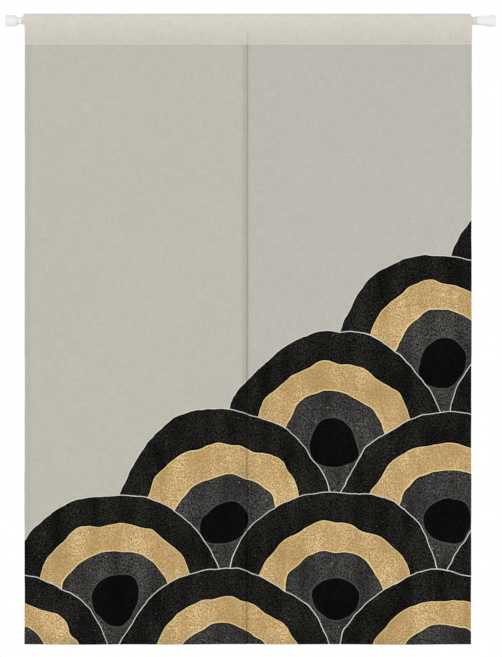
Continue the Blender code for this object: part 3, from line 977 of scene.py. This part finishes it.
def heading_material():
    """Paler cloth. Painted shade darkens it towards its foot, whose edge has a painted highlight, and the
    lap shows through it as painted light and shade.
    """
    graph = Graph("heading_cloth")
    place = graph.object_place()
    weave, height = add_weave(graph)
    x, _, z = graph.parts(place)
    below_tuck = graph.math("LESS_THAN", z, PANEL_TOP_Z)
    from_ridge = graph.math("ABSOLUTE", graph.math("SUBTRACT", x, LAP_RIDGE_X))
    from_joint = graph.math("ABSOLUTE", graph.math("SUBTRACT", x, LAP_JOINT_X))
    ridge = graph.spread(from_ridge, *LAP_RIDGE_HIGHLIGHT)
    joint = graph.spread(from_joint, *LAP_JOINT_SHADE)
    # Painted highlight on the lap's ridge and painted shade at its joint, below the panels' tops
    lap = graph.math("MULTIPLY", graph.math("SUBTRACT", ridge, joint), below_tuck)
    tone = graph.math("ADD", add_drift(graph, place, HEADING_DRIFT), lap)
    # Painted light and shade up the heading, band by band
    for band in HEADING_LIGHT_AND_SHADE:
        tone = graph.math("ADD", tone, graph.spread(z, *band))
    colour = toned(graph, linear(HEADING_COLOUR), graph.math("MULTIPLY", weave, tone))
    return graph.finish(colour, CLOTH_ROUGHNESS, height, WEAVE_RELIEF, **CLOTH_SHINE)


def thread_material(name, colour, printed):
    """Fine thread in the colour of the cloth under it."""
    graph = Graph(name)
    place = graph.object_place()
    twist = graph.noise(place, TWIST_CELLS, detail=1.0).outputs[0]
    tone = graph.spread(twist, *ONE_NOISE, *TWIST_TONES)
    base = linear(colour)
    if printed:
        ink, covered = add_print(graph, place)
        base = graph.blend_colour(covered, base, ink)
    return graph.finish(toned(graph, base, tone), THREAD_ROUGHNESS, Specular_IOR_Level=THREAD_SHINE)


def rod_material(coat):
    """Smooth white coating or moulding with a faint unevenness."""
    graph = Graph(coat.name)
    place = graph.object_place()
    clouds = graph.noise(place, COAT_CLOUDS, detail=3.0).outputs[0]
    tone = graph.spread(clouds, *ONE_NOISE, *COAT_TONES)
    peel = graph.noise(place, coat.grain).outputs[0]
    smoothest = coat.roughness - COAT_SMOOTHER
    roughest = coat.roughness + COAT_ROUGHER
    roughness = graph.spread(peel, *ONE_NOISE, smoothest, roughest)
    colour = toned(graph, linear(coat.colour), tone)
    return graph.finish(colour, roughness, peel, COAT_RELIEF, Specular_IOR_Level=COAT_SHINE)


def floor_material():
    """Pale floor with faint clouds."""
    graph = Graph("floor")
    clouds = graph.noise(graph.object_place(), FLOOR_CLOUDS, detail=3.0).outputs[0]
    tone = graph.spread(clouds, *ONE_NOISE, *FLOOR_TONES)
    return graph.finish(toned(graph, linear(FLOOR_COLOUR), tone), FLOOR_ROUGHNESS)


def dress_cloth():
    """Puts the fine cloth and its sewing in place of the cloth solids."""
    front = panel_front_material()
    back = panel_back_material()
    panel_thread = thread_material("panel_thread", PANEL_COLOUR, True)
    heading_thread = thread_material("heading_thread", HEADING_COLOUR, False)
    for panel in PANELS:
        cloth = make_panel(panel, [front, back])
        sewing = make_sewing(f"{panel.node}_sewing", panel_seams(panel), panel_thread)
        for piece in (cloth, sewing):
            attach(piece, "root")
        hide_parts(panel.node)
    heading = make_heading(heading_material())
    sewing = make_sewing("heading_sewing", heading_seams(), heading_thread)
    for piece in (heading, sewing):
        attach(piece, "root")
    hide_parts("heading")
    section = heading_line(np.array([CURTAIN_LEFT]), -1)[0][-1, 0]


def dress_rod():
    """Puts fine turned pieces in place of the rod's solids."""
    low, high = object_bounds()
    outer_coat = rod_material(OUTER_COAT)
    inner_coat = rod_material(INNER_COAT)
    moulding = rod_material(PAD_COAT)
    inner_wall = tube_profile(INNER_TUBE_RADIUS, LEFT_PAD.floor + TOUCH_GAP, INNER_TUBE_LENGTH)
    outer_wall = tube_profile(OUTER_TUBE_RADIUS, RIGHT_PAD.floor + TOUCH_GAP, OUTER_TUBE_LENGTH)
    left_pad = pad_profile(LEFT_PAD, INNER_TUBE_RADIUS)
    right_pad = pad_profile(RIGHT_PAD, OUTER_TUBE_RADIUS)
    pieces = [
        ("rod_inner_tube", "rod_tube", inner_coat, inner_wall, low.x, False),
        ("rod_outer_tube", "rod_tube", outer_coat, outer_wall, high.x, True),
        ("rod_pad_left", "rod_pad", moulding, left_pad, low.x, False),
        ("rod_pad_right", "rod_pad", moulding, right_pad, high.x, True),
    ]
    for node, slot, material, profile, end_x, points_right in pieces:
        piece = turned_object(f"{node}_fine", material, profile, end_x, points_right)
        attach(piece, "root")
        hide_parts(node)


def make_world():
    """White behind the object, and softer light from all round on it."""
    world = bpy.data.worlds.new("studio")
    bpy.context.scene.world = world
    world.use_nodes = True
    tree = world.node_tree
    background = tree.nodes["Background"]
    background.inputs["Color"].default_value = (1.0, 1.0, 1.0, 1.0)
    path = tree.nodes.new("ShaderNodeLightPath")
    strength = tree.nodes.new("ShaderNodeMapRange")
    strength.inputs["To Min"].default_value = AMBIENT
    strength.inputs["To Max"].default_value = 1.0
    tree.links.new(path.outputs["Is Camera Ray"], strength.inputs["Value"])
    tree.links.new(strength.outputs[0], background.inputs["Strength"])


def make_lights():
    """Broad suns, each from its own side."""
    for soft_light in LIGHTS:
        data = bpy.data.lights.new(soft_light.name, "SUN")
        data.energy = soft_light.strength
        data.angle = math.radians(soft_light.spread)
        placed = bpy.data.objects.new(soft_light.name, data)
        bpy.context.scene.collection.objects.link(placed)
        azimuth = math.radians(soft_light.azimuth)
        elevation = math.radians(soft_light.elevation)
        towards = Vector((
            math.sin(azimuth) * math.cos(elevation),
            -math.cos(azimuth) * math.cos(elevation),
            math.sin(elevation),
        ))
        placed.rotation_euler = towards.to_track_quat("Z", "Y").to_euler()


def make_floor():
    """A pale round floor, well below the lower edge of the camera's view."""
    bpy.ops.mesh.primitive_circle_add(
        vertices=FLOOR_SIDES, radius=FLOOR_RADIUS, fill_type="NGON", location=(0, 0, -FLOOR_DROP)
    )
    floor = bpy.context.object
    floor.name = "floor"
    floor.data.materials.append(floor_material())


def make_camera():
    """A camera that shows METRES_PER_PX at the curtain, over the photo's height."""
    data = bpy.data.cameras.new("camera")
    data.sensor_width = SENSOR
    data.lens = SENSOR * CAMERA_DISTANCE / (PHOTO_HEIGHT_PX * METRES_PER_PX)
    data.clip_start = SEEN_FROM
    data.clip_end = SEEN_TO
    camera = bpy.data.objects.new("camera", data)
    bpy.context.scene.collection.objects.link(camera)
    camera.location = (CAMERA_X, -CAMERA_DISTANCE, CAMERA_Z)
    camera.rotation_euler = (math.pi / 2, 0, 0)
    bpy.context.scene.camera = camera


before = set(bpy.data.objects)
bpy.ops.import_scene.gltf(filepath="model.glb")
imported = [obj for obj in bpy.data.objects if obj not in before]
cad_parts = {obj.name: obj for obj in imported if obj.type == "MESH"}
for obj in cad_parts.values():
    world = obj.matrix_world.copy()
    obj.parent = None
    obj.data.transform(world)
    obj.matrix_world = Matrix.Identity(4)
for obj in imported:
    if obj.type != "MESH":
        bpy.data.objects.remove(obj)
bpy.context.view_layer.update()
bpy.context.scene.view_settings.view_transform = "Standard"
make_camera()
dress_cloth()
dress_rod()
make_floor()
make_lights()
make_world()
